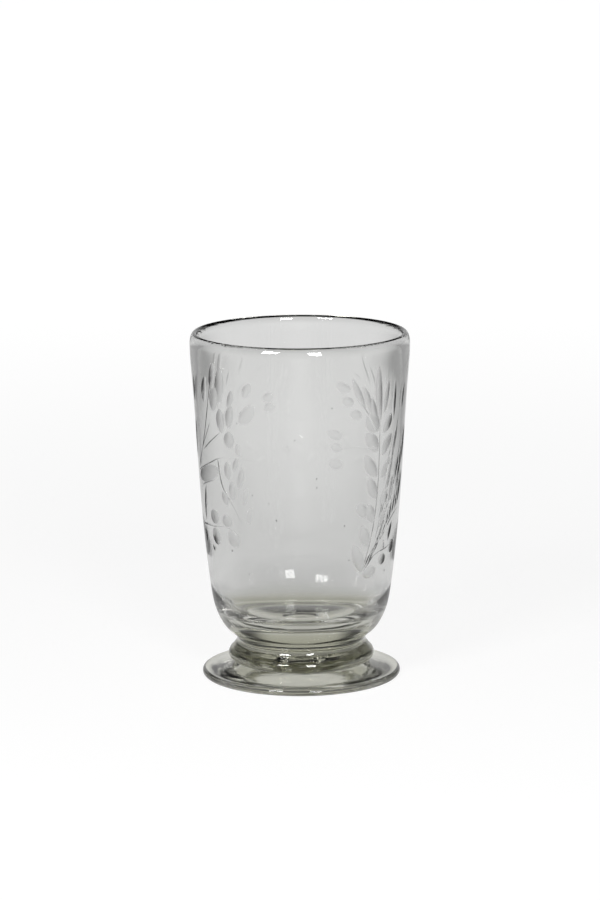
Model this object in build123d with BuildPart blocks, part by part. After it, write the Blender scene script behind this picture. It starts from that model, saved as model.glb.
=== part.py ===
"""Footed mixing glass: a blown bowl, a pressed collar and a spun foot, fused hot on one axis.

Millimetres, +Z up. The origin is on the glass's axis, at the level that the foot stands on.
"""

from build123d import *
import os

# Overall size
GLASS_HEIGHT = 146.0
MOUTH_OUTER_RADIUS = 45.9

# Levels at which the three gathers are fused together
BOWL_JOINT_Z = 15.4
FOOT_JOINT_Z = 6.2

# Bowl, outside: a narrow waist, a round belly and a long, slightly barrelled taper
WAIST_RADIUS = 27.1
BELLY_POINTS = [(30.5, 19.6), (33.8, 23.9), (36.3, 29.9), (38.0, 39.0)]
TAPER_POINTS = [(40.2, 58.0), (43.3, 100.0), (45.1, 128.0)]

# Lip: fire-polished round, an ellipse on each side of its crest
LIP_CREST_RADIUS = 43.8
LIP_OUTER_HEIGHT = 4.6
LIP_INNER_WIDTH = 1.45
LIP_INNER_HEIGHT = 2.8

# Bowl, inside: a nearly straight mouth whose heavy wall thins downwards, a thick rounded heel and
# a floor that rises a little at its middle
INNER_WALL_POINTS = [(42.45, 137.0), (42.35, 126.0), (41.65, 100.0), (38.9, 58.0)]
HEEL_POINTS = [(37.4, 46.0), (36.1, 36.0), (33.0, 29.7), (27.0, 26.4)]
FLOOR_RADIUS = 18.0
FLOOR_Z = 25.4
FLOOR_RISE = 0.3

# Collar: flares from the waist to a rounded edge, and is undercut above the foot
COLLAR_RADIUS = 30.7
COLLAR_EDGE_Z = 9.0
COLLAR_SHOULDER = (28.8, 12.3)
COLLAR_UNDERSIDE = (29.3, 6.9)
UNDERCUT_RADIUS = 26.8

# Foot: a thin disc with a rounded edge, its top sloping up to the collar
FOOT_RADIUS = 41.7
FOOT_EDGE_THICKNESS = 3.0
FOOT_SLOPE_POINT = (33.0, 4.4)

# Underside of the foot: a resting ring, a shallow hollow and the ground-out pontil mark
RESTING_RING_INNER_RADIUS = 34.0
HOLLOW_DEPTH = 1.1
PONTIL_RADIUS = 8.5
PONTIL_DEPTH = 0.6

QUARTER_TURN = 90

# Directions in which the outlines leave and arrive
UP = (0, 1)
DOWN = (0, -1)
INWARDS = (-1, 0)
OUTWARDS = (1, 0)
OUT_OF_THE_UNDERCUT = (1, 0.1)
DOWN_THE_FOOT = (1, -0.4)
INTO_THE_PONTIL = (-1, 0.6)

os.makedirs("parts", exist_ok=True)

# Bowl: one closed section from the axis out along the joint, up the outside, over the lip and
# down the inside to the floor
lip_outer = (MOUTH_OUTER_RADIUS, GLASS_HEIGHT - LIP_OUTER_HEIGHT)
lip_inner = (LIP_CREST_RADIUS - LIP_INNER_WIDTH, GLASS_HEIGHT - LIP_INNER_HEIGHT)

with BuildPart() as bowl:
    with BuildSketch(Plane.XZ):
        with BuildLine():
            Line((0, BOWL_JOINT_Z), (WAIST_RADIUS, BOWL_JOINT_Z))
            Spline(
                (WAIST_RADIUS, BOWL_JOINT_Z),
                *BELLY_POINTS,
                *TAPER_POINTS,
                lip_outer,
                tangents=[UP, UP],
            )
            EllipticalCenterArc(
                (LIP_CREST_RADIUS, GLASS_HEIGHT - LIP_OUTER_HEIGHT),
                x_radius=MOUTH_OUTER_RADIUS - LIP_CREST_RADIUS,
                y_radius=LIP_OUTER_HEIGHT,
                start_angle=0,
                arc_size=QUARTER_TURN,
            )
            EllipticalCenterArc(
                (LIP_CREST_RADIUS, GLASS_HEIGHT - LIP_INNER_HEIGHT),
                x_radius=LIP_INNER_WIDTH,
                y_radius=LIP_INNER_HEIGHT,
                start_angle=QUARTER_TURN,
                arc_size=QUARTER_TURN,
            )
            Spline(
                lip_inner,
                *INNER_WALL_POINTS,
                *HEEL_POINTS,
                (FLOOR_RADIUS, FLOOR_Z),
                (0, FLOOR_Z + FLOOR_RISE),
                tangents=[DOWN, INWARDS],
            )
            Line((0, FLOOR_Z + FLOOR_RISE), (0, BOWL_JOINT_Z))
        make_face()
    revolve(axis=Axis.Z)
bowl.part.label = "bowl"
export_step(bowl.part, "parts/bowl.step")

# Collar: a solid wafer of glass between the bowl and the foot
with BuildPart() as collar:
    with BuildSketch(Plane.XZ):
        with BuildLine():
            Line((0, FOOT_JOINT_Z), (UNDERCUT_RADIUS, FOOT_JOINT_Z))
            Spline(
                (UNDERCUT_RADIUS, FOOT_JOINT_Z),
                COLLAR_UNDERSIDE,
                (COLLAR_RADIUS, COLLAR_EDGE_Z),
                COLLAR_SHOULDER,
                (WAIST_RADIUS, BOWL_JOINT_Z),
                tangents=[OUT_OF_THE_UNDERCUT, UP],
            )
            Line((WAIST_RADIUS, BOWL_JOINT_Z), (0, BOWL_JOINT_Z))
            Line((0, BOWL_JOINT_Z), (0, FOOT_JOINT_Z))
        make_face()
    revolve(axis=Axis.Z)
collar.part.label = "collar"
export_step(collar.part, "parts/collar.step")

# Foot: stands on a flat ring, with the pontil mark sunk in the middle of its hollow
edge_radius = FOOT_EDGE_THICKNESS / 2
edge_centre_radius = FOOT_RADIUS - edge_radius

with BuildPart() as foot:
    with BuildSketch(Plane.XZ):
        with BuildLine():
            Line((0, HOLLOW_DEPTH + PONTIL_DEPTH), (0, FOOT_JOINT_Z))
            Line((0, FOOT_JOINT_Z), (UNDERCUT_RADIUS, FOOT_JOINT_Z))
            Spline(
                (UNDERCUT_RADIUS, FOOT_JOINT_Z),
                FOOT_SLOPE_POINT,
                (edge_centre_radius, FOOT_EDGE_THICKNESS),
                tangents=[DOWN_THE_FOOT, OUTWARDS],
            )
            ThreePointArc(
                (edge_centre_radius, FOOT_EDGE_THICKNESS),
                (FOOT_RADIUS, edge_radius),
                (edge_centre_radius, 0),
            )
            Line((edge_centre_radius, 0), (RESTING_RING_INNER_RADIUS, 0))
            Spline(
                (RESTING_RING_INNER_RADIUS, 0),
                (PONTIL_RADIUS, HOLLOW_DEPTH),
                tangents=[INWARDS, INWARDS],
            )
            Spline(
                (PONTIL_RADIUS, HOLLOW_DEPTH),
                (0, HOLLOW_DEPTH + PONTIL_DEPTH),
                tangents=[INTO_THE_PONTIL, INWARDS],
            )
        make_face()
    revolve(axis=Axis.Z)
foot.part.label = "foot"
export_step(foot.part, "parts/foot.step")
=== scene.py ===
"""Looks of the footed mixing glass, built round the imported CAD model. Metres, +Z up."""

import math
from collections import namedtuple

import bpy
import numpy as np
from mathutils import Matrix, Vector
from mathutils.geometry import delaunay_2d_cdt


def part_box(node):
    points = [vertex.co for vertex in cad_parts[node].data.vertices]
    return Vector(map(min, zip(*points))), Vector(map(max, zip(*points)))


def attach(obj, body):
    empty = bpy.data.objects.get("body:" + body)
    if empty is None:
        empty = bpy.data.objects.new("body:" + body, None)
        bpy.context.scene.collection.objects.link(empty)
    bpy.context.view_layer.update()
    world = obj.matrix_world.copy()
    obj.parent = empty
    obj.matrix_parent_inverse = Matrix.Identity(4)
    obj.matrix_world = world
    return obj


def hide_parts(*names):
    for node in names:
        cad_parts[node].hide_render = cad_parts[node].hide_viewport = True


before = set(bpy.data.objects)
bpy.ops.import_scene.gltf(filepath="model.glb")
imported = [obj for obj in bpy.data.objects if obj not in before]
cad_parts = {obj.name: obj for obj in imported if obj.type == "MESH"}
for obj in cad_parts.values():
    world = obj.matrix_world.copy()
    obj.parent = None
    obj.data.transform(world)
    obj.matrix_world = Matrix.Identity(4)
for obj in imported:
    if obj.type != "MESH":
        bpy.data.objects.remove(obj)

MM = 0.001
TURN = 2 * math.pi
FRONT = -TURN / 4

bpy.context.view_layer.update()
bowl_low, bowl_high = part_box("bowl")
_, collar_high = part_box("collar")
foot_low, foot_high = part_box("foot")


# ---------------------------------------------------------------- sizes
# Points of the outlines are (radius, height) in millimetres, as in the CAD model.

MOUTH_RADIUS = min(bowl_high.x, bowl_high.y, -bowl_low.x, -bowl_low.y)
FOOT_RADIUS = min(foot_high.x, foot_high.y, -foot_low.x, -foot_low.y)
GLASS_TOP = bowl_high.z
WAIST_Z = collar_high.z
UNDERCUT_Z = foot_high.z
JOINT_GAP = 0.01 * MM

WAIST_RADIUS = 27.1 * MM
BELLY = [(30.5, 19.6), (33.8, 23.9), (36.3, 29.9), (38.0, 39.0)]
TAPER = [(40.2, 58.0), (43.3, 100.0), (45.1, 128.0)]
LIP_CREST_RADIUS = 43.8 * MM
LIP_OUTER_HEIGHT = 4.6 * MM
LIP_INNER_WIDTH = 1.45 * MM
LIP_INNER_HEIGHT = 2.8 * MM
INNER_WALL = [(42.45, 137.0), (42.35, 126.0), (41.65, 100.0), (38.9, 58.0)]
HEEL = [(37.4, 46.0), (36.1, 36.0), (33.0, 29.7), (27.0, 26.4)]
FLOOR = [(18.0, 25.4), (0.0, 25.7)]

COLLAR_UNDERSIDE = (29.3, 6.9)
COLLAR_EDGE = (collar_high.x / MM, 9.0)
COLLAR_SHOULDER = (28.8, 12.3)
UNDERCUT_RADIUS = 26.8 * MM

FOOT_EDGE_THICKNESS = 3.0 * MM
FOOT_SLOPE = (33.0, 4.4)
RESTING_RING_RADIUS = 34.0 * MM
HOLLOW_DEPTH = 1.1 * MM
PONTIL_RADIUS = 8.5 * MM
PONTIL_DEPTH = 0.6 * MM

# Directions in which the outlines leave and arrive
UP, DOWN, INWARDS, OUTWARDS = (0, 1), (0, -1), (-1, 0), (1, 0)
OUT_OF_THE_UNDERCUT = (1, 0.1)
DOWN_THE_FOOT = (1, -0.4)
INTO_THE_PONTIL = (-1, 0.6)

# How finely the outlines are divided
SEGMENTS = 256
WALL_SPACING = 1.2 * MM
PONTIL_SPACING = 0.8 * MM
FOOT_SPACING = 0.4 * MM
COLLAR_SPACING = 0.2 * MM
LIP_OUTER_POINTS = 13
LIP_INNER_POINTS = 11
FOOT_EDGE_POINTS = 17
RESTING_RING_POINTS = 6
JOINT_POINTS = 8

# The engraved part of the wall
BAND_LOW = 44 * MM
BAND_HIGH = 140 * MM


# ---------------------------------------------------------------- outlines

def millimetres(points):
    return [(r * MM, z * MM) for r, z in points]


def line(start, end, count):
    steps = np.linspace(0, 1, count)[:, None]
    return np.array(start) * (1 - steps) + np.array(end) * steps


def arc(centre, width, height, first, last, count):
    """Part of an ellipse, by the angles in degrees where it starts and ends."""
    angles = np.radians(np.linspace(first, last, count))
    return np.array(centre) + np.stack([width * np.cos(angles), height * np.sin(angles)], 1)


def spline(points, start_way, end_way, spacing):
    """A smooth curve through points that leaves along start_way and arrives along end_way."""
    p = np.array(points, float)
    chord = np.linalg.norm(np.diff(p, axis=0), axis=1)
    n = len(p)
    left = np.zeros((n, n))
    right = np.zeros((n, 2))
    left[0, 0] = left[-1, -1] = 1
    right[0] = np.array(start_way) / np.linalg.norm(start_way)
    right[-1] = np.array(end_way) / np.linalg.norm(end_way)
    for i in range(1, n - 1):
        a, b = chord[i - 1], chord[i]
        left[i, i - 1 : i + 2] = b, 2 * (a + b), a
        right[i] = 3 * (b / a * (p[i] - p[i - 1]) + a / b * (p[i + 1] - p[i]))
    slope = np.linalg.solve(left, right)
    found = [p[:1]]
    for i, length in enumerate(chord):
        t = np.linspace(0, 1, max(2, round(length / spacing)) + 1)[1:, None]
        found.append(
            (1 + 2 * t) * (1 - t) ** 2 * p[i]
            + t * (1 - t) ** 2 * length * slope[i]
            + t**2 * (3 - 2 * t) * p[i + 1]
            + t**2 * (t - 1) * length * slope[i + 1]
        )
    return np.concatenate(found)


def joined(*stretches):
    """One outline from stretches that share their ends."""
    return np.concatenate([stretches[0]] + [s[1:] for s in stretches[1:]])


def bowl_outside():
    lip = (MOUTH_RADIUS, GLASS_TOP - LIP_OUTER_HEIGHT)
    points = [(WAIST_RADIUS, WAIST_Z), *millimetres(BELLY), *millimetres(TAPER), lip]
    return spline(points, UP, UP, WALL_SPACING)


def bowl_lip():
    outer_centre = (LIP_CREST_RADIUS, GLASS_TOP - LIP_OUTER_HEIGHT)
    inner_centre = (LIP_CREST_RADIUS, GLASS_TOP - LIP_INNER_HEIGHT)
    outer_width = MOUTH_RADIUS - LIP_CREST_RADIUS
    return joined(
        arc(outer_centre, outer_width, LIP_OUTER_HEIGHT, 0, 90, LIP_OUTER_POINTS),
        arc(inner_centre, LIP_INNER_WIDTH, LIP_INNER_HEIGHT, 90, 180, LIP_INNER_POINTS),
    )


def bowl_inside():
    lip = (LIP_CREST_RADIUS - LIP_INNER_WIDTH, GLASS_TOP - LIP_INNER_HEIGHT)
    return spline([lip, *millimetres(INNER_WALL + HEEL + FLOOR)], DOWN, INWARDS, WALL_SPACING)


def collar_outline():
    points = [
        (UNDERCUT_RADIUS, UNDERCUT_Z),
        *millimetres([COLLAR_UNDERSIDE, COLLAR_EDGE, COLLAR_SHOULDER]),
        (WAIST_RADIUS, WAIST_Z),
    ]
    return spline(points, OUT_OF_THE_UNDERCUT, UP, COLLAR_SPACING)


def foot_top():
    edge = FOOT_EDGE_THICKNESS / 2
    edge_centre = FOOT_RADIUS - edge
    points = [(UNDERCUT_RADIUS, UNDERCUT_Z), *millimetres([FOOT_SLOPE]), (edge_centre, FOOT_EDGE_THICKNESS)]
    return joined(
        spline(points, DOWN_THE_FOOT, OUTWARDS, FOOT_SPACING),
        arc((edge_centre, edge), edge, edge, 90, -90, FOOT_EDGE_POINTS),
    )


def foot_underside():
    edge_centre = FOOT_RADIUS - FOOT_EDGE_THICKNESS / 2
    hollow = [(RESTING_RING_RADIUS, 0), (PONTIL_RADIUS, HOLLOW_DEPTH)]
    pontil = [(PONTIL_RADIUS, HOLLOW_DEPTH), (0, HOLLOW_DEPTH + PONTIL_DEPTH)]
    return joined(
        line((edge_centre, 0), (RESTING_RING_RADIUS, 0), RESTING_RING_POINTS),
        spline(hollow, INWARDS, INWARDS, WALL_SPACING),
        spline(pontil, INTO_THE_PONTIL, INWARDS, PONTIL_SPACING),
    )


def outline_normals(outline):
    """Unit normals on the right-hand side of an outline's direction of travel."""
    way = np.gradient(outline, axis=0)
    way[0], way[-1] = outline[1] - outline[0], outline[-1] - outline[-2]
    normals = np.stack([way[:, 1], -way[:, 0]], 1)
    return normals / np.linalg.norm(normals, axis=1)[:, None]


def joint_line(radius, z, outwards):
    """The outline of a joint's flat disc and its normals, which point down when it runs outwards."""
    ends = [(0, z), (radius, z)]
    stretch = line(*(ends if outwards else ends[::-1]), JOINT_POINTS)
    return stretch, outline_normals(stretch)


# ---------------------------------------------------------------- ripples of hand-worked glass

# Shares by which the waves of a ripple differ in length and in strength
WAVE_LENGTHS = (0.7, 1.6)
WAVE_STRENGTHS = (0.5, 1.5)


def ripples(seed, count, height, around, along):
    """An uneven ripple of about height: a sum of waves with up to around crests in a turn, along apart."""
    draw = np.random.default_rng(seed)
    crests = draw.integers(-around, around + 1, count)
    pitch = TURN / (along * draw.uniform(*WAVE_LENGTHS, count))
    phase = draw.uniform(0, TURN, count)
    strength = height / math.sqrt(count) * draw.uniform(*WAVE_STRENGTHS, count)

    def ripple(angle, travel):
        total = np.zeros(np.broadcast(angle, travel).shape)
        for n, k, p, s in zip(crests, pitch, phase, strength):
            total += s * np.sin(n * angle + k * travel + p)
        return total

    return ripple


def worn_away(ripple, depth):
    """A ripple set back by depth, so that wear only takes glass away."""
    def worn_ripple(angle, travel):
        return ripple(angle, travel) - depth

    return worn_ripple


def faded(ripple, start, end):
    """A ripple that dies away over the shares start and end of the stretch's two ends."""
    def faded_ripple(angle, travel, length):
        share = travel / length
        fade = np.clip(share / start, 0, 1) * np.clip((1 - share) / end, 0, 1)
        return ripple(angle, travel) * fade * fade * (3 - 2 * fade)

    return faded_ripple


# ---------------------------------------------------------------- closed glass skins

# Material slots: the first two of every piece, then the bowl's cuts, and the foot's worn underside
GLASS, JOINT = 0, 1
GROUND, POLISHED, FAINT = 2, 3, 4
WORN = 2

LEAST_RADIUS = 0.5 * MM
ON_THE_AXIS = 1e-9
SEED_RINGS = 6
SEED_STEPS = 10
THREAD_STEPS = 8


class Skin:
    """Vertices, faces and corner normals of one closed glass piece, turned into a mesh at the end."""

    def __init__(self):
        self.vertices, self.faces, self.corner_normals, self.slots = [], [], [], []
        self.count = 0

    def add_vertices(self, places):
        self.vertices.append(np.asarray(places, float).reshape(-1, 3))
        first = self.count
        self.count += len(self.vertices[-1])
        return np.arange(first, self.count)

    def add_faces(self, faces, normals, slots):
        """Adds faces with a normal for each corner, and one slot for all or one for each."""
        self.faces.extend(faces)
        self.corner_normals.extend(normals)
        self.slots.extend(np.broadcast_to(slots, len(faces)).tolist())

    def revolve(self, outline, normals, slot, start_ring=None, ripple=None):
        """Turns a stretch of outline about the axis. A first ring that a neighbour made is passed in."""
        places, n = rippled(outline, normals, ripple)
        rings = []
        for i, ring in enumerate(places):
            if i == 0 and start_ring is not None:
                rings.append(start_ring)
            elif outline[i, 0] < ON_THE_AXIS:
                rings.append(np.full(SEGMENTS, self.add_vertices(ring[:1])[0]))
            else:
                rings.append(self.add_vertices(ring))
        faces, corner_normals = [], []
        for i, (low, high) in enumerate(zip(rings, rings[1:])):
            for j in range(SEGMENTS):
                k = (j + 1) % SEGMENTS
                corners = [(low[j], n[i, j]), (low[k], n[i, k])]
                corners += [(high[k], n[i + 1, k]), (high[j], n[i + 1, j])]
                if low[j] == low[k]:
                    corners = corners[1:]
                if high[j] == high[k]:
                    corners = corners[:2] + corners[-1:]
                faces.append([vertex for vertex, _ in corners])
                corner_normals.append([normal for _, normal in corners])
        self.add_faces(faces, corner_normals, slot)
        return rings[0], rings[-1]

    def add_seed(self, centre, radii):
        """An air seed: a small hollow in the glass, so its surface faces into the air inside it."""
        rows = [[0, 0, 1]]
        for i in range(1, SEED_RINGS):
            polar = math.pi * i / SEED_RINGS
            radius = math.sin(polar)
            for j in range(SEED_STEPS):
                turn = TURN * j / SEED_STEPS
                rows.append([radius * math.cos(turn), radius * math.sin(turn), math.cos(polar)])
        rows.append([0, 0, -1])
        sphere = np.array(rows)
        base = self.add_vertices(np.array(centre) + sphere * np.array(radii))[0]
        normal = -sphere / np.array(radii)
        normal /= np.linalg.norm(normal, axis=1)[:, None]
        faces = []
        for j in range(SEED_STEPS):
            k = (j + 1) % SEED_STEPS
            faces.append([0, 1 + k, 1 + j])
            for i in range(SEED_RINGS - 2):
                a, b = 1 + i * SEED_STEPS, 1 + (i + 1) * SEED_STEPS
                faces.append([a + j, a + k, b + k, b + j])
            last = 1 + (SEED_RINGS - 2) * SEED_STEPS
            faces.append([len(sphere) - 1, last + j, last + k])
        self.add_faces([[base + v for v in face] for face in faces], [normal[face] for face in faces], GLASS)

    def add_thread(self, radius, angles, heights, width, thickness):
        """An air thread: a thin hollow drawn out along a ring round the axis, pointed at both ends."""
        last = len(angles) - 1
        turns = np.arange(THREAD_STEPS) * TURN / THREAD_STEPS
        up = np.array([0, 0, 1.0])
        rings, normals_in = [], []
        for i, (angle, z) in enumerate(zip(angles, heights)):
            out = np.array([math.cos(angle), math.sin(angle), 0])
            ahead = np.array([-math.sin(angle), math.cos(angle), 0])
            centre = radius * out + z * up
            if i in (0, last):
                rings.append(self.add_vertices([centre]))
                normals_in.append([ahead if i == 0 else -ahead])
                continue
            share = math.sqrt(math.sin(math.pi * i / last))
            a, b = width / 2 * share, thickness / 2 * share
            sides = [centre + a * math.cos(t) * out + b * math.sin(t) * up for t in turns]
            rings.append(self.add_vertices(sides))
            ways = [-math.cos(t) / a * out - math.sin(t) / b * up for t in turns]
            normals_in.append([way / np.linalg.norm(way) for way in ways])
        faces, normals = [], []
        for i in range(last):
            for j in range(THREAD_STEPS):
                k = (j + 1) % THREAD_STEPS
                corners = [(i, j), (i, k), (i + 1, k), (i + 1, j)]
                if i == 0:
                    corners = [(0, 0), (1, k), (1, j)]
                elif i == last - 1:
                    corners = [(i, j), (i, k), (last, 0)]
                faces.append([rings[ring][step] for ring, step in corners])
                normals.append([normals_in[ring][step] for ring, step in corners])
        self.add_faces(faces, normals, GLASS)

    def made(self, name, materials):
        mesh = bpy.data.meshes.new(name)
        mesh.from_pydata(np.concatenate(self.vertices).tolist(), [], [list(map(int, f)) for f in self.faces])
        for material in materials:
            mesh.materials.append(material)
        mesh.polygons.foreach_set("material_index", self.slots)
        mesh.shade_smooth()
        mesh.update()
        mesh.normals_split_custom_set([tuple(n) for face in self.corner_normals for n in face])
        piece = bpy.data.objects.new(name, mesh)
        bpy.context.scene.collection.objects.link(piece)
        return piece


def rippled(outline, normals, ripple):
    """Places and normals on the surface of a turned outline, moved along its normals by a ripple."""
    angles = np.arange(SEGMENTS) * TURN / SEGMENTS
    travel = np.concatenate([[0], np.cumsum(np.linalg.norm(np.diff(outline, axis=0), axis=1))])
    height = np.zeros((len(outline), SEGMENTS))
    if ripple:
        height = ripple(angles[None, :], travel[:, None], travel[-1])
    rise = np.gradient(height, travel, axis=0)
    lean = (np.roll(height, -1, 1) - np.roll(height, 1, 1)) / (2 * TURN / SEGMENTS)
    lean /= np.maximum(outline[:, 0], LEAST_RADIUS)[:, None]
    radial = np.stack([np.cos(angles), np.sin(angles), 0 * angles], 1)[None]
    around = np.stack([-np.sin(angles), np.cos(angles), 0 * angles], 1)[None]
    upright = np.array([0, 0, 1.0])[None, None]
    n = normals[:, None, :1] * radial + normals[:, None, 1:] * upright
    along = -normals[:, None, 1:] * radial + normals[:, None, :1] * upright
    places = outline[:, None, :1] * radial + outline[:, None, 1:] * upright + height[..., None] * n
    n = n - rise[..., None] * along - lean[..., None] * around
    n /= np.linalg.norm(n, axis=2)[..., None]
    return places, n


# ---------------------------------------------------------------- engraving
# Places on the wall are (degrees from the front, towards +X; height in millimetres). Widths, lengths
# and depths are millimetres. A cut is worked out on the wall unrolled at UNROLLED_RADIUS.

UNROLLED_RADIUS = 42.0
GRID_ROWS = 30
GRID_COLUMNS = 176
SAME_PLACE = 1e-7
LEAST_DEPTH = 0.004
SEEN_DEPTH = 0.01
SLOPE_STEP = 0.02
CORNER_INSET = 0.12

STEM_WIDTH = 0.7
STEM_DEPTH = 0.2
STEM_SPACING = 1.3
STEM_TAPER = 0.5
STEM_START_WIDTH = 0.4
STEM_END_SHARE = 1 / 8
LEAF_DEPTH = 0.45
LEAF_FULLNESS = 1.2
FULL_DEPTH_WIDTH = 4
LEAF_STEPS = 15
LEAF_ROWS = (-0.75, -0.4, 0, 0.4, 0.75)
LEAF_BENDS = (0.5, -0.35, 0.25)
OVAL = 0.5

# How far from the front the leaves are faint, are polished, and are no longer repeated behind
FAINT_WITHIN = 37
FAINT_SHARE = 0.6
POLISHED_FROM = 55
REPEATED_WITHIN = 62
FAR_SHARE = 0.3
FAR_FULLNESS = 0.8

# Angles of the sides of the glass, about which the sprays are repeated behind
RIGHT_SIDE = 86
LEFT_SIDE = -87

RIGHT_STEMS = [
    [(40, 51), (44, 61), (47, 72), (48.5, 98), (48, 115)],
    [(40.5, 51), (47, 59), (54, 63), (64, 70), (76, 74)],
    [(41, 50.5), (48, 56), (60, 58), (75, 61)],
    [(50, 61), (58, 72), (66, 87), (73, 105)],
    [(47, 102), (38, 103), (29, 104), (20, 103.5)],
    [(46, 109), (38, 118), (31, 125)],
    [(43, 52), (50, 62), (58, 75), (66, 92)],
    [(45, 54), (55, 65), (66, 77), (75, 90)],
    [(49, 64), (55, 78), (61, 93), (66, 108)],
    [(51, 72), (56, 84), (62, 100), (68, 116)],
]
RIGHT_LEAVES = [
    ((51, 68), (60, 76), 3.6), ((51.5, 77), (59, 85), 4.4), ((51, 89), (61, 97), 3.8),
    ((51, 98.5), (59.5, 107), 3.8), ((51, 108), (58.5, 115.5), 3.6),
    ((43.5, 60.5), (37.5, 70), 4.2), ((47, 70.5), (41.5, 79), 4.2), ((40, 73.5), (33.5, 79.5), 4.0),
    ((47.5, 80.5), (41.5, 90), 4.2), ((47.5, 90), (38, 99.5), 4.4), ((47, 100.5), (38, 109), 5.0),
    ((46.5, 109), (39, 117.5), 6.0), ((46, 113), (41, 124), 2.6), ((41, 117), (35, 129), 2.4),
    ((37, 119), (28, 133), 2.4), ((48.5, 113), (45, 137), 3.2), ((51, 116), (53.5, 131), 2.2),
    ((60.5, 112), (60.5, 130), 2.6), ((71, 115), (74, 127), 2.4),
    ((39.5, 50), (32, 62), 4.6), ((58.5, 57.5), (56, 62.5), 2.2), ((62, 60.5), (66, 69), 3.0),
    ((23, 103), (16, 105.5), 3.0), ((24, 97), (15, 98.5), 3.4), ((23.5, 109), (14.5, 111.5), 3.2),
    ((34.5, 116), (27, 118.5), 3.2), ((29.5, 122), (22.5, 125), 3.2), ((27.5, 128), (19, 131.5), 3.2),
    ((56, 67), (64, 80), 3.4), ((60, 69), (68, 83), 3.4), ((64, 71.5), (72, 86), 3.4),
    ((68, 73), (76, 88), 3.4), ((72, 74.5), (80, 89), 3.2), ((59, 77), (65, 92), 3.4),
    ((63, 84), (70, 99), 3.4), ((67, 80), (75, 96), 3.2), ((71, 88), (79, 103), 3.2),
    ((75, 92), (82, 108), 3.0), ((56, 84), (62, 99), 3.0), ((60, 95), (66, 110), 3.0),
]
RIGHT_BERRIES = [
    ((57.5, 51.2), (57.5, 56), 5.4), ((68.5, 55), (69, 60.6), 5.6), ((40.5, 49), (51.5, 49.6), 4.8),
]

LEFT_STEMS = [
    [(-78, 91), (-69, 100), (-62, 112), (-57, 124), (-54, 132)],
    [(-78, 90.5), (-67, 102), (-61, 108), (-57, 113)],
    [(-66, 100), (-56, 105), (-48, 109)],
    [(-78, 89.5), (-59, 95), (-49, 98), (-35, 99), (-22, 98.5)],
    [(-72, 84), (-64, 86), (-55, 88)],
    [(-52, 97), (-49, 86), (-42, 79), (-37, 73), (-34.5, 70)],
    [(-76, 67), (-58, 68), (-44, 68), (-37, 64)],
    [(-34, 118), (-24, 124.5)],
]
LEFT_LEAVES = [
    ((-63, 119.5), (-59, 131.5), 3.8), ((-55, 125), (-51.5, 138), 3.4), ((-48.5, 121), (-45.5, 136.5), 4.4),
    ((-54, 117), (-50, 128.5), 4.6), ((-42, 119.5), (-38.5, 127.5), 2.4), ((-47.5, 108.5), (-48, 119), 4.0),
    ((-42, 111), (-39, 121), 3.4), ((-34.5, 113.5), (-25.5, 122), 4.6), ((-42, 102.5), (-41.5, 110), 4.6),
    ((-35, 99.5), (-36, 105.5), 2.0), ((-37, 86), (-33.5, 95.5), 2.4), ((-34, 79.5), (-30.5, 87), 2.4),
    ((-31, 71.5), (-28.5, 79), 2.4), ((-40, 93.5), (-37, 99), 2.2), ((-43.5, 89), (-44.5, 97), 3.0),
    ((-40.5, 80.5), (-41, 89), 3.0), ((-46, 78), (-49.5, 84), 3.0), ((-71.5, 68.5), (-66.5, 85), 2.8),
    ((-85, 93), (-80, 112), 3.0), ((-80, 118), (-77, 130), 3.0), ((-31, 124.5), (-26.5, 131), 3.0),
    ((-19, 120), (-13, 122.5), 3.0), ((-20, 124.5), (-14, 127.5), 3.0),
    ((-46.5, 67), (-39, 61.5), 5.6), ((-76, 65.5), (-73, 59), 3.8), ((-64, 59.5), (-61.5, 57), 1.6),
]
LEFT_BERRIES = [
    ((-59, 68.9), (-59, 75), 6.6), ((-47.5, 68.8), (-46.5, 74), 6.0), ((-61, 66.8), (-56.5, 60.4), 6.4),
]
WIDE_LEAF = ((-79, 86.5), (-50, 93), 7.0)
WIDE_LEAF_DEPTH = 0.2

BACK_LEAVES = [
    ((134, 89), (140, 94), 3.0), ((140, 88), (147, 84), 3.0), ((148, 90.5), (154, 95.5), 3.2),
    ((154, 89), (161, 84.5), 3.2), ((163, 89), (169, 94.5), 3.4), ((169, 88), (176, 83), 3.4),
    ((177, 91), (183, 96), 3.4), ((193, 88.5), (199, 93.5), 3.2), ((200, 87), (207, 82.5), 3.2),
    ((209, 90), (215, 95), 3.0), ((217, 89), (224, 84.5), 3.0),
]
BACK_STAR = [((185.5, 88), (190.5, 91)), ((185, 90.5), (190, 89)), ((186.5, 86.5), (189, 92.5))]
STAR_WIDTH = 1.3

Cut = namedtuple("Cut", "centre reach outline spine fill depth_at slot")


def unrolled(place):
    return np.array([math.radians(place[0]) * UNROLLED_RADIUS, place[1]])


def wrapped(across):
    """A distance round the unrolled wall, taken the shorter way."""
    whole = TURN * UNROLLED_RADIUS
    return (across + whole / 2) % whole - whole / 2


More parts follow.
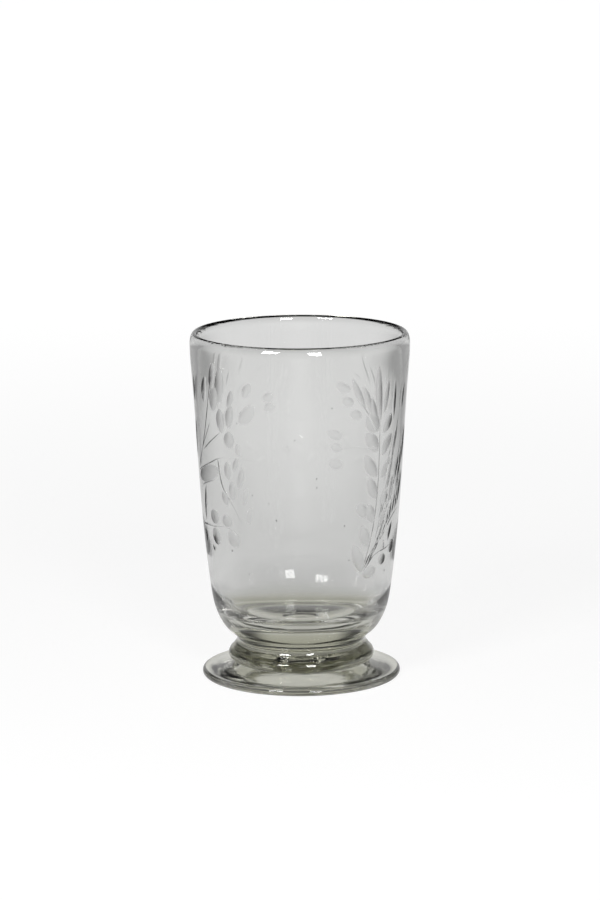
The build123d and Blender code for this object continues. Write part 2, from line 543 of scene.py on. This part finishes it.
def leaf_cut(base, tip, width, depth, bend=0.0, fullness=0.75, slot=GROUND):
    """A leaf ground with a round-edged wheel. A fullness of OVAL makes it an oval."""
    start, end = unrolled(base), unrolled(tip)
    length = np.linalg.norm(end - start)
    along = (end - start) / length
    across = np.array([-along[1], along[0]])

    def half_width(t):
        return width / 2 * np.clip(4 * t * (1 - t), 0, 1) ** fullness

    def place(t, share):
        t = np.asarray(t, float)
        side = share * half_width(t) + bend * 4 * t * (1 - t)
        return start + t[:, None] * length * along + side[:, None] * across

    def depth_at(points):
        away = points - start
        t = (away @ along) / length
        side = away @ across - bend * 4 * t * (1 - t)
        inside = (t > 0) & (t < 1)
        return depth * np.where(inside, np.maximum(half_width(t) ** 2 - side**2, 0), 0) / (width / 2) ** 2

    steps = (1 - np.cos(np.linspace(0, math.pi, LEAF_STEPS))) / 2
    outline = np.concatenate([place(steps, -1.0), place(steps[-2:0:-1], 1.0)])
    fill = np.concatenate([place(steps[1:-1], share) for share in LEAF_ROWS])
    reach = length / 2 + width + abs(bend)
    return Cut((start + end) / 2, reach, outline, outline[:0], fill, depth_at, slot)


def stem_cut(places, width, depth):
    """A thin line cut with a sharp-edged wheel, which narrows along its way."""
    points = np.array([unrolled(p) for p in places])
    path = spline(points, points[1] - points[0], points[-1] - points[-2], STEM_SPACING)
    way = np.gradient(path, axis=0)
    way /= np.linalg.norm(way, axis=1)[:, None]
    across = np.stack([-way[:, 1], way[:, 0]], 1)
    share = np.linspace(0, 1, len(path))
    start = np.minimum(1, share / STEM_END_SHARE + STEM_START_WIDTH)
    end = np.minimum(1, (1 - share) / STEM_END_SHARE)
    half = width / 2 * (1 - STEM_TAPER * share) * start * end

    def depth_at(points):
        found = np.zeros(len(points))
        for a, b, h0, h1 in zip(path, path[1:], half, half[1:]):
            span = b - a
            t = np.clip((points - a) @ span / (span @ span), 0, 1)
            distance = np.linalg.norm(points - a - t[:, None] * span, axis=1)
            found = np.maximum(found, depth * (h0 + (h1 - h0) * t - distance) / (width / 2))
        return found

    right, left = path - half[:, None] * across, path + half[:, None] * across
    outline = np.concatenate([right[:-1], path[-1:], left[-2::-1]])
    centre = (path.min(0) + path.max(0)) / 2
    reach = np.linalg.norm(path.max(0) - path.min(0)) / 2 + width
    return Cut(centre, reach, outline, path[:-1], path[:0], depth_at, POLISHED)


def mirrored(places, middle):
    """The same places on the far side of an upright line at the angle middle."""
    return [(2 * middle - angle, height) for angle, height in places]


def leaf_cuts(leaves, side):
    """Leaves of one spray, and most of them once more, fainter, behind the side of the glass."""
    cuts = []
    for number, (base, tip, width) in enumerate(leaves):
        bend = LEAF_BENDS[number % len(LEAF_BENDS)]
        depth = LEAF_DEPTH * min(1, width / FULL_DEPTH_WIDTH)
        slot = POLISHED if abs(base[0]) > POLISHED_FROM else GROUND
        if abs(base[0]) < FAINT_WITHIN:
            depth, slot = FAINT_SHARE * depth, FAINT
        cuts.append(leaf_cut(base, tip, LEAF_FULLNESS * width, depth, bend, slot=slot))
        if abs(base[0]) < REPEATED_WITHIN and number % len(LEAF_BENDS):
            far_base, far_tip = mirrored((base, tip), side)
            far_width, far_depth = FAR_FULLNESS * width, FAR_SHARE * depth
            cuts.append(leaf_cut(far_base, far_tip, far_width, far_depth, -bend, slot=POLISHED))
    return cuts


def engraving():
    cuts = []
    right_spray = (RIGHT_STEMS, RIGHT_LEAVES, RIGHT_BERRIES, RIGHT_SIDE)
    left_spray = (LEFT_STEMS, LEFT_LEAVES, LEFT_BERRIES, LEFT_SIDE)
    for stems, leaves, berries, side in (right_spray, left_spray):
        cuts += [stem_cut(places, STEM_WIDTH, STEM_DEPTH) for places in stems]
        cuts += leaf_cuts(leaves, side)
        cuts += [leaf_cut(base, tip, width, LEAF_DEPTH, fullness=OVAL) for base, tip, width in berries]
    for base, tip, width in BACK_LEAVES:
        cuts.append(leaf_cut(base, tip, width, FAR_SHARE * LEAF_DEPTH, slot=POLISHED))
    for base, tip in BACK_STAR:
        cuts.append(leaf_cut(base, tip, STAR_WIDTH, LEAF_DEPTH / 2, slot=POLISHED))
    cuts.append(leaf_cut(*WIDE_LEAF, WIDE_LEAF_DEPTH))
    return cuts


def engraved_depth(cuts, points):
    """How deep the wall is cut at points of the unrolled wall."""
    found = np.zeros(len(points))
    for cut in cuts:
        near = points - cut.centre
        near[:, 0] = wrapped(near[:, 0])
        chosen = np.flatnonzero(np.abs(near).max(1) < cut.reach)
        if len(chosen):
            found[chosen] = np.maximum(found[chosen], cut.depth_at(near[chosen] + cut.centre))
    return found


def to_disc(points):
    """Maps the unrolled wall onto a flat ring without a seam, keeping small shapes as they are."""
    reach = np.exp((points[:, 1] - BAND_LOW / MM) / UNROLLED_RADIUS)
    angle = points[:, 0] / UNROLLED_RADIUS
    return np.stack([reach * np.cos(angle), reach * np.sin(angle)], 1)


def from_disc(points):
    reach = np.linalg.norm(points, axis=1)
    angle = np.arctan2(points[:, 1], points[:, 0])
    return np.stack([angle * UNROLLED_RADIUS, np.log(reach) * UNROLLED_RADIUS + BAND_LOW / MM], 1)


class Plan:
    """Places on the unrolled wall, and the edges that its triangles have to follow."""

    def __init__(self):
        self.places, self.edges = [], []
        self.count = 0

    def add(self, places):
        self.places.append(np.asarray(places))
        self.count += len(places)

    def add_line(self, places, closed=False):
        ids = list(range(self.count, self.count + len(places)))
        self.add(places)
        self.edges.extend(zip(ids, ids[1:] + ids[:1] if closed else ids[1:]))


def level_line(angles, z):
    """Places on the unrolled wall at one height."""
    return np.stack([angles * UNROLLED_RADIUS, np.full(len(angles), z / MM)], 1)


def wall_plan(low, high, cuts):
    """The rings at the band's ends come first, then a staggered grid between them and the cuts."""
    plan = Plan()
    for level in (low, high):
        plan.add_line(level_line(np.arange(SEGMENTS) * TURN / SEGMENTS - FRONT, level), closed=True)
    for row in range(1, GRID_ROWS):
        turns = (np.arange(GRID_COLUMNS) + row % 2 / 2) * TURN / GRID_COLUMNS
        plan.add(level_line(turns, low + (high - low) * row / GRID_ROWS))
    for cut in cuts:
        plan.add_line(cut.outline, closed=True)
        plan.add_line(cut.spine)
        plan.add(cut.fill)
    return plan


def within_low_ring(triangle, origins):
    """Whether a triangle lies in the hole of the flat ring, with every corner on the low ring."""
    return all(origins[v] and min(origins[v]) < SEGMENTS for v in triangle)


def engraved_normals(cuts, corners, outline, normals):
    """Normals at the corners of triangles, leaning with the slope of the cuts just inside each corner."""
    inside = (corners + CORNER_INSET * (corners.mean(1)[:, None] - corners)).reshape(-1, 2)
    slope_across, slope_up = [
        (engraved_depth(cuts, inside + way) - engraved_depth(cuts, inside - way)) / (2 * SLOPE_STEP)
        for way in (np.array([SLOPE_STEP, 0]), np.array([0, SLOPE_STEP]))
    ]
    turn = corners.reshape(-1, 2)[:, 0] / UNROLLED_RADIUS + FRONT
    height = corners.reshape(-1, 2)[:, 1] * MM
    wall_out = np.interp(height, outline[:, 1], normals[:, 0])
    wall_up = np.interp(height, outline[:, 1], normals[:, 1])
    n = np.stack([
        wall_out * np.cos(turn) - slope_across * np.sin(turn),
        wall_out * np.sin(turn) + slope_across * np.cos(turn),
        wall_up + slope_up,
    ], 1)
    n /= np.linalg.norm(n, axis=1)[:, None]
    return n.reshape(-1, 3, 3)


def cut_slots(cuts, middles):
    """The material slot of each triangle, by the cut in which its middle lies."""
    slots = np.full(len(middles), GLASS)
    for slot in (GROUND, POLISHED, FAINT):
        depth = engraved_depth([cut for cut in cuts if cut.slot == slot], middles)
        slots[depth > SEEN_DEPTH] = slot
    return slots


def engraved_band(skin, outline, normals, low_ring, high_ring, cuts):
    """Fills the wall between two rings with triangles that follow the edges of the cuts."""
    plan = wall_plan(outline[0, 1], outline[-1, 1], cuts)
    disc = [Vector(p) for p in to_disc(np.concatenate(plan.places))]
    found, _, triangles, origins, _, _ = delaunay_2d_cdt(disc, plan.edges, [], 0, SAME_PLACE, True)
    flat = from_disc(np.array(found, float))
    depth = engraved_depth(cuts, flat)
    depth[depth < LEAST_DEPTH] = 0
    index = np.full(len(found), -1)
    for i, sources in enumerate(origins):
        for source in sources:
            if source < 2 * SEGMENTS:
                ring, end = (low_ring, 0) if source < SEGMENTS else (high_ring, -1)
                index[i] = ring[source % SEGMENTS]
                flat[i, 1] = outline[end, 1] / MM
    z = flat[:, 1] * MM
    radius = np.interp(z, outline[:, 1], outline[:, 0]) - depth * MM
    angle = flat[:, 0] / UNROLLED_RADIUS + FRONT
    places = np.stack([radius * np.cos(angle), radius * np.sin(angle), z], 1)
    fresh = np.flatnonzero(index < 0)
    index[fresh] = skin.add_vertices(places[fresh])
    triangles = np.array([t[::-1] for t in triangles if not within_low_ring(t, origins)])
    corners = flat[triangles]
    corners[..., 0] = corners[:, :1, 0] + wrapped(corners[..., 0] - corners[:, :1, 0])
    corner_normals = engraved_normals(cuts, corners, outline, normals)
    skin.add_faces(index[triangles].tolist(), list(corner_normals), cut_slots(cuts, corners.mean(1)))


# ---------------------------------------------------------------- materials

class Shading:
    """The nodes of a material or a world."""

    def __init__(self, tree):
        self.nodes, self.links = tree.nodes, tree.links

    def node(self, kind, **settings):
        node = self.nodes.new(kind)
        for name, value in settings.items():
            setattr(node, name, value)
        return node

    def maths(self, operation, *values):
        node = self.node("ShaderNodeMath", operation=operation)
        for value, socket in zip(values, node.inputs):
            self.links.new(value, socket)
        return node.outputs[0]

    def product(self, first, *others):
        for other in others:
            first = self.maths("MULTIPLY", first, other)
        return first

    def smooth(self, value, reach, levels):
        """Goes from the first of levels to the last as the value goes through its reach."""
        node = self.node("ShaderNodeMapRange", interpolation_type="SMOOTHSTEP")
        for name, number in zip(("From Min", "From Max", "To Min", "To Max"), (*reach, *levels)):
            node.inputs[name].default_value = number
        self.links.new(value, node.inputs["Value"])
        return node.outputs[0]

    def place(self, coordinates):
        """The vector of the given texture coordinates, and its X, Y and Z."""
        vector = self.node("ShaderNodeTexCoord").outputs[coordinates]
        split = self.node("ShaderNodeSeparateXYZ")
        self.links.new(vector, split.inputs[0])
        return vector, split.outputs["X"], split.outputs["Y"], split.outputs["Z"]

    def seen_or_through(self, seen, through):
        """One shader for what the camera sees straight, and another for what the glass sees."""
        mix = self.node("ShaderNodeMixShader")
        path = self.node("ShaderNodeLightPath")
        self.links.new(path.outputs["Is Camera Ray"], mix.inputs["Fac"])
        self.links.new(through, mix.inputs[1])
        self.links.new(seen, mix.inputs[2])
        return mix.outputs[0]


# Colour sockets of a Mix node
MIX_FIRST, MIX_LAST, MIXED = 6, 7, 2

GLASS_IOR = 1.52
THIN_TINT = (0.985, 0.987, 0.98)
THICK_TINT = (0.48, 0.48, 0.385)
COLLAR_TINT = (0.42, 0.42, 0.325)
FOOT_TINT = (0.72, 0.72, 0.64)

# Heights between which the bowl turns from solid glass into a thin wall
THICKNESS_CHANGE = (21 * MM, 34 * MM)

SMOOTH_ROUGHNESS = 0.0
WORN_ROUGHNESS = 0.06
POLISHED_ROUGHNESS = 0.14
FAINT_ROUGHNESS = 0.28
GROUND_ROUGHNESS = 0.38


def glass_material(name, roughness, low_tint, high_tint):
    """Clear glass whose grey-green tint deepens downwards, where the glass is thicker."""
    material = bpy.data.materials.new(name)
    material.use_nodes = True
    shading = Shading(material.node_tree)
    shader = shading.nodes["Principled BSDF"]
    _, _, _, height = shading.place("Object")
    tint = shading.node("ShaderNodeMix", data_type="RGBA")
    tint.inputs[MIX_FIRST].default_value = (*low_tint, 1)
    tint.inputs[MIX_LAST].default_value = (*high_tint, 1)
    shading.links.new(shading.smooth(height, THICKNESS_CHANGE, (0, 1)), tint.inputs[0])
    shading.links.new(tint.outputs[MIXED], shader.inputs["Base Color"])
    shader.inputs["Roughness"].default_value = roughness
    shader.inputs["IOR"].default_value = GLASS_IOR
    shader.inputs["Transmission Weight"].default_value = 1
    return material


def joint_material():
    """The inside of a fused joint, where the glass runs on unbroken."""
    material = bpy.data.materials.new("fused_joint")
    material.use_nodes = True
    nodes = material.node_tree.nodes
    nodes.remove(nodes["Principled BSDF"])
    clear = nodes.new("ShaderNodeBsdfTransparent")
    material.node_tree.links.new(clear.outputs[0], nodes["Material Output"].inputs["Surface"])
    return material


bowl_glass = glass_material("bowl_clear_glass", SMOOTH_ROUGHNESS, THICK_TINT, THIN_TINT)
cut_glass = glass_material("bowl_cut_glass", GROUND_ROUGHNESS, THICK_TINT, THIN_TINT)
polished_glass = glass_material("bowl_polished_cut_glass", POLISHED_ROUGHNESS, THICK_TINT, THIN_TINT)
faint_glass = glass_material("bowl_faint_cut_glass", FAINT_ROUGHNESS, THICK_TINT, THIN_TINT)
collar_glass = glass_material("collar_clear_glass", SMOOTH_ROUGHNESS, COLLAR_TINT, COLLAR_TINT)
foot_glass = glass_material("foot_clear_glass", SMOOTH_ROUGHNESS, FOOT_TINT, FOOT_TINT)
worn_glass = glass_material("foot_worn_glass", WORN_ROUGHNESS, FOOT_TINT, FOOT_TINT)
fused_joint = joint_material()


# ---------------------------------------------------------------- air in the glass
# Angles are degrees from the front, towards +X. Heights, radii and sizes are millimetres.

# Seeds in the wall: angle, height and size
WALL_SEEDS = [
    (-14, 74, 0.3), (-45, 59, 0.35), (-63, 58, 0.4), (9, 88, 0.22), (26, 71, 0.25), (-3, 108, 0.2),
    (30, 56, 0.22), (63, 48, 0.35), (-28, 84, 0.2), (17, 121, 0.22), (-33, 50, 0.25), (170, 76, 0.25),
    (-160, 66, 0.25), (150, 112, 0.2), (-140, 103, 0.2),
]
WALL_SEED_DEPTH = 0.65
WALL_SEED_STRETCH = 1.3

JOINT_DRAW = 21
JOINT_SEED_ANGLES = (-27, -23, -20, -16, -12, -9, -5, -1, 3, 8, 12, 17, 21)
JOINT_SEED_SHIFT = 0.8
JOINT_SEED_RADIUS = 25.5
JOINT_SEED_SIZES = (0.12, 0.24)
JOINT_SEED_LEVELS = (0.9, 1.3)

THREAD_DRAW = 31
THREAD_LEVELS = (7.5, 8.2, 8.9, 9.6)
THREAD_LEVEL_SHIFT = 0.08
THREAD_RADII = (26.6, 27.4, 28.2)
THREAD_LENGTHS = (8, 34)
THREAD_GAPS = (4, 22)
THREAD_WIDTHS = (0.4, 0.7)
THREAD_THICKNESSES = (0.4, 0.9)
THREAD_RISE = 2.4
THREAD_POINTS = 12


def on_ring(radius, angle, z):
    """A place at an angle in degrees from the front."""
    turn = math.radians(angle) + FRONT
    return (radius * math.cos(turn), radius * math.sin(turn), z)


def add_wall_seeds(skin, outline):
    """A few seeds scattered through the wall, drawn out a little upwards."""
    for angle, z, size in WALL_SEEDS:
        radius = np.interp(z * MM, outline[:, 1], outline[:, 0]) - WALL_SEED_DEPTH * MM
        radii = (size * MM, size * MM, WALL_SEED_STRETCH * size * MM)
        skin.add_seed(on_ring(radius, angle, z * MM), radii)


def add_joint_seeds(skin):
    """A row of tiny seeds caught just over the joint with the collar."""
    draw = np.random.default_rng(JOINT_DRAW)
    for angle in JOINT_SEED_ANGLES:
        angle += draw.uniform(-JOINT_SEED_SHIFT, JOINT_SEED_SHIFT)
        size = draw.uniform(*JOINT_SEED_SIZES) * MM
        z = WAIST_Z + draw.uniform(*JOINT_SEED_LEVELS) * MM
        skin.add_seed(on_ring(JOINT_SEED_RADIUS * MM, angle, z), (size, size, size))


def add_threads(skin):
    """Air threads: folds of the hot collar that closed on a little air. They rise towards its sides."""
    draw = np.random.default_rng(THREAD_DRAW)
    longest, shortest_gap = THREAD_LENGTHS[1], THREAD_GAPS[0]
    for level in THREAD_LEVELS:
        for radius in THREAD_RADII:
            start = draw.uniform(0, TURN)
            angle = start
            while angle < start + TURN - math.radians(longest + shortest_gap):
                end = angle + math.radians(draw.uniform(*THREAD_LENGTHS))
                angles = np.linspace(angle, end, THREAD_POINTS)
                middle = level + draw.uniform(-THREAD_LEVEL_SHIFT, THREAD_LEVEL_SHIFT)
                heights = (middle + THREAD_RISE * np.abs(np.cos(angles))) * MM
                width = draw.uniform(*THREAD_WIDTHS) * MM
                thickness = draw.uniform(*THREAD_THICKNESSES) * MM
                skin.add_thread(radius * MM, angles, heights, width, thickness)
                angle = end + math.radians(draw.uniform(*THREAD_GAPS))


# ---------------------------------------------------------------- pieces

def nearest(outline, z):
    return int(np.argmin(np.abs(outline[:, 1] - z)))


def bowl_piece():
    skin = Skin()
    disc, disc_normals = joint_line(WAIST_RADIUS, WAIST_Z + JOINT_GAP, outwards=True)
    _, waist = skin.revolve(disc, disc_normals, JOINT)
    rising, lip = bowl_outside(), bowl_lip()
    outline = joined(rising, lip, bowl_inside())
    outline[0, 1] += JOINT_GAP
    normals = outline_normals(outline)
    low, high = nearest(rising, BAND_LOW), nearest(rising, BAND_HIGH)
    lip_end = len(rising) + len(lip) - 1
    _, low_ring = skin.revolve(outline[: low + 1], normals[: low + 1], GLASS, waist)
    high_ring, lip_ring = skin.revolve(outline[high:lip_end], normals[high:lip_end], GLASS)
    wave = faded(ripples(seed=11, count=14, height=0.06 * MM, around=4, along=30 * MM), start=0.15, end=0.25)
    skin.revolve(outline[lip_end - 1 :], normals[lip_end - 1 :], GLASS, lip_ring, wave)
    engraved_band(skin, outline[low : high + 1], normals[low : high + 1], low_ring, high_ring, engraving())
    add_wall_seeds(skin, rising)
    add_joint_seeds(skin)
    return skin.made("bowl_glass", [bowl_glass, fused_joint, cut_glass, polished_glass, faint_glass])


def collar_piece():
    skin = Skin()
    disc, disc_normals = joint_line(UNDERCUT_RADIUS, UNDERCUT_Z, outwards=True)
    _, undercut = skin.revolve(disc, disc_normals, JOINT)
    outline = collar_outline()
    wrinkle = ripples(seed=5, count=24, height=0.045 * MM, around=6, along=2.5 * MM)
    wave = faded(wrinkle, start=0.06, end=0.35)
    _, waist = skin.revolve(outline, outline_normals(outline), GLASS, undercut, wave)
    disc, disc_normals = joint_line(WAIST_RADIUS, WAIST_Z, outwards=False)
    skin.revolve(disc, disc_normals, JOINT, waist)
    add_threads(skin)
    return skin.made("collar_glass", [collar_glass, fused_joint])


def foot_piece():
    skin = Skin()
    underside = foot_underside()[::-1]
    outline = joined(underside, foot_top()[::-1])
    outline[-1, 1] -= JOINT_GAP
    normals = outline_normals(outline)
    edge = len(underside) - 1
    scuffs = ripples(seed=8, count=30, height=0.02 * MM, around=16, along=3 * MM)
    wear = faded(worn_away(scuffs, depth=0.05 * MM), start=0.05, end=0.1)
    _, edge_ring = skin.revolve(outline[: edge + 1], normals[: edge + 1], WORN, ripple=wear)
    wave = faded(ripples(seed=3, count=20, height=0.03 * MM, around=9, along=6 * MM), start=0.3, end=0.1)
    _, undercut = skin.revolve(outline[edge:], normals[edge:], GLASS, edge_ring, wave)
    disc, disc_normals = joint_line(UNDERCUT_RADIUS, UNDERCUT_Z - JOINT_GAP, outwards=False)
    skin.revolve(disc, disc_normals, JOINT, undercut)
    return skin.made("foot_glass", [foot_glass, fused_joint, worn_glass])


for piece, node in ((bowl_piece(), "bowl"), (collar_piece(), "collar"), (foot_piece(), "foot")):
    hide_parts(node)
    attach(piece, "root")


# ---------------------------------------------------------------- floor and studio
# The camera sees white paper all round, glowing besides the light of the lamps on it. The glass sees instead
# a grey floor that only glows, its glow painted with light and shade, and a pale window of paper behind it
# in a dark studio, which give it its dark lines. Each row holds two places and the levels there.

FLOOR_HALF_WIDTH = 6.0
FLOOR_DROP = 0.02 * MM
PAPER_COLOUR = (0.12, 0.12, 0.12, 1)

# By the distance from the axis, in metres
PAPER_GLOW = ((0.2, 1.2), (0.9, 1.0))
# Painted on the floor the glass sees: shade near the glass, standing in for its shadow, light right under
# it, and the outer edge of a painted shadow ring round it.
PAINTED_SHADE_NEAR_GLASS = ((0.1, 0.8), (0.64, 0.745))
PAINTED_LIGHT_UNDER_GLASS = ((0.04, 0.12), (1.1, 0.9))
PAINTED_SHADOW_RING_OUTER = ((0.12, 0.22), (1, 1.11))

# By the distance to either side, and by Y, in metres
# Painted shade on the floor the glass sees, to the sides and in front of the glass, and painted light
# further in front.
PAINTED_SHADE_ASIDE = ((0.06, 0.40), (1, 0.45))
PAINTED_SHADE_IN_FRONT = ((-0.06, 0.005), (0.38, 1))
PAINTED_LIGHT_FAR_FRONT = ((-0.26, -0.16), (2.3, 1))

# By the parts of a direction: sideways, along Y and upwards
WINDOW_WIDTH = ((0.2, 0.6), (1, 0.06))
WINDOW_BEHIND = ((0.0, 0.4), (0, 1))
WINDOW_HEIGHT = ((0.30, 0.42), (1, 0.06))
STUDIO_SHADES = ((0, 1), (0.045, 0.74))
CEILING = ((0.35, 0.6), (1, 0.25))
SIDE_LIGHT = ((0.8, 0.95), (0, 0.4))


def floor_material():
    material = bpy.data.materials.new("floor_paper")
    material.use_nodes = True
    shading = Shading(material.node_tree)
    shading.nodes.remove(shading.nodes["Principled BSDF"])
    place, x, y, _ = shading.place("Object")
    distance = shading.node("ShaderNodeVectorMath", operation="LENGTH")
    shading.links.new(place, distance.inputs[0])
    away = distance.outputs["Value"]
    aside = shading.maths("ABSOLUTE", x)

    glow = shading.node("ShaderNodeEmission")
    shading.links.new(shading.smooth(away, *PAPER_GLOW), glow.inputs["Strength"])
    paper = shading.node("ShaderNodeBsdfDiffuse")
    paper.inputs["Color"].default_value = PAPER_COLOUR
    seen = shading.node("ShaderNodeAddShader")
    shading.links.new(glow.outputs[0], seen.inputs[0])
    shading.links.new(paper.outputs[0], seen.inputs[1])

    # What the glass sees of the floor: a grey glow whose strength paints light and shade by place on the
    # floor.
    painted_floor_light = shading.node("ShaderNodeEmission")
    shares = [shading.smooth(away, *share) for share in (PAINTED_SHADE_NEAR_GLASS, PAINTED_LIGHT_UNDER_GLASS, PAINTED_SHADOW_RING_OUTER)]
    shares.append(shading.smooth(aside, *PAINTED_SHADE_ASIDE))
    shares += [shading.smooth(y, *share) for share in (PAINTED_SHADE_IN_FRONT, PAINTED_LIGHT_FAR_FRONT)]
    shading.links.new(shading.product(*shares), painted_floor_light.inputs["Strength"])

    surface = shading.seen_or_through(seen.outputs[0], painted_floor_light.outputs[0])
    shading.links.new(surface, shading.nodes["Material Output"].inputs["Surface"])
    return material


def stage_floor():
    mesh = bpy.data.meshes.new("floor")
    sides = ((-1, -1), (1, -1), (1, 1), (-1, 1))
    corners = [(x * FLOOR_HALF_WIDTH, y * FLOOR_HALF_WIDTH, -FLOOR_DROP) for x, y in sides]
    mesh.from_pydata(corners, [], [(0, 1, 2, 3)])
    mesh.materials.append(floor_material())
    floor = bpy.data.objects.new("floor", mesh)
    bpy.context.scene.collection.objects.link(floor)


def studio_world():
    world = bpy.data.worlds.new("studio")
    bpy.context.scene.world = world
    world.use_nodes = True
    world.node_tree.nodes.clear()
    shading = Shading(world.node_tree)
    _, x, y, z = shading.place("Generated")
    aside = shading.maths("ABSOLUTE", x)
    width, height = shading.smooth(aside, *WINDOW_WIDTH), shading.smooth(z, *WINDOW_HEIGHT)
    window = shading.product(width, height, shading.smooth(y, *WINDOW_BEHIND))
    shade = shading.product(shading.smooth(window, *STUDIO_SHADES), shading.smooth(z, *CEILING))
    studio = shading.node("ShaderNodeBackground")
    side_light = shading.smooth(aside, *SIDE_LIGHT)
    shading.links.new(shading.maths("ADD", shade, side_light), studio.inputs["Color"])
    white = shading.node("ShaderNodeBackground")
    white.inputs["Color"].default_value = (1, 1, 1, 1)
    surface = shading.seen_or_through(white.outputs[0], studio.outputs[0])
    shading.links.new(surface, shading.node("ShaderNodeOutputWorld").inputs["Surface"])


# ---------------------------------------------------------------- lamps and camera

SOFTBOX_DISTANCE = 1.0

# Distances in metres, angles in degrees, lens and sensor in millimetres
CAMERA_DISTANCE = 1.507
CAMERA_HEIGHT = 0.3902
CAMERA_SIDESTEP = -0.00013
CAMERA_TILT = 11.06
CAMERA_ROLL = -0.3
CAMERA_LENS = 146.8
CAMERA_SENSOR = 36

# Light needs many steps through the thick glass. The limit on reflections is a trick of the render: it
# ends long paths in black, which draws most of the thin dark line round the back of the rim.
MOST_BOUNCES = 96
MOST_REFLECTIONS = 9
MOST_CLEAR_CROSSINGS = 32


def softbox(name, azimuth, elevation, width, height, radiance):
    """A rectangular lamp that faces the glass. Azimuth is measured from the front, towards +X."""
    data = bpy.data.lights.new(name, "AREA")
    data.shape = "RECTANGLE"
    data.size, data.size_y = width, height
    data.energy = radiance * math.pi * width * height
    lamp = bpy.data.objects.new(name, data)
    a, e = math.radians(azimuth), math.radians(elevation)
    aim = np.array([0, 0, GLASS_TOP / 2])
    away = np.array([math.sin(a) * math.cos(e), -math.cos(a) * math.cos(e), math.sin(e)])
    lamp.location = aim + SOFTBOX_DISTANCE * away
    lamp.rotation_mode = "QUATERNION"
    lamp.rotation_quaternion = Vector(-away).to_track_quat("-Z", "Y")
    bpy.context.scene.collection.objects.link(lamp)


def camera():
    data = bpy.data.cameras.new("camera")
    data.sensor_width = CAMERA_SENSOR
    data.lens = CAMERA_LENS
    view = bpy.data.objects.new("camera", data)
    view.location = (CAMERA_SIDESTEP, -CAMERA_DISTANCE, CAMERA_HEIGHT)
    level = Matrix.Rotation(math.radians(90 - CAMERA_TILT), 3, "X")
    view.rotation_euler = (level @ Matrix.Rotation(math.radians(CAMERA_ROLL), 3, "Z")).to_euler()
    bpy.context.scene.collection.objects.link(view)
    bpy.context.scene.camera = view


stage_floor()
studio_world()
softbox("left_softbox", azimuth=-32, elevation=32, width=0.28, height=0.28, radiance=24)
softbox("right_softbox", azimuth=16, elevation=26, width=0.22, height=0.36, radiance=22)
camera()

scene = bpy.context.scene
scene.view_settings.view_transform = "Standard"
scene.cycles.max_bounces = MOST_BOUNCES
scene.cycles.transmission_bounces = MOST_BOUNCES
scene.cycles.glossy_bounces = MOST_REFLECTIONS
scene.cycles.transparent_max_bounces = MOST_CLEAR_CROSSINGS
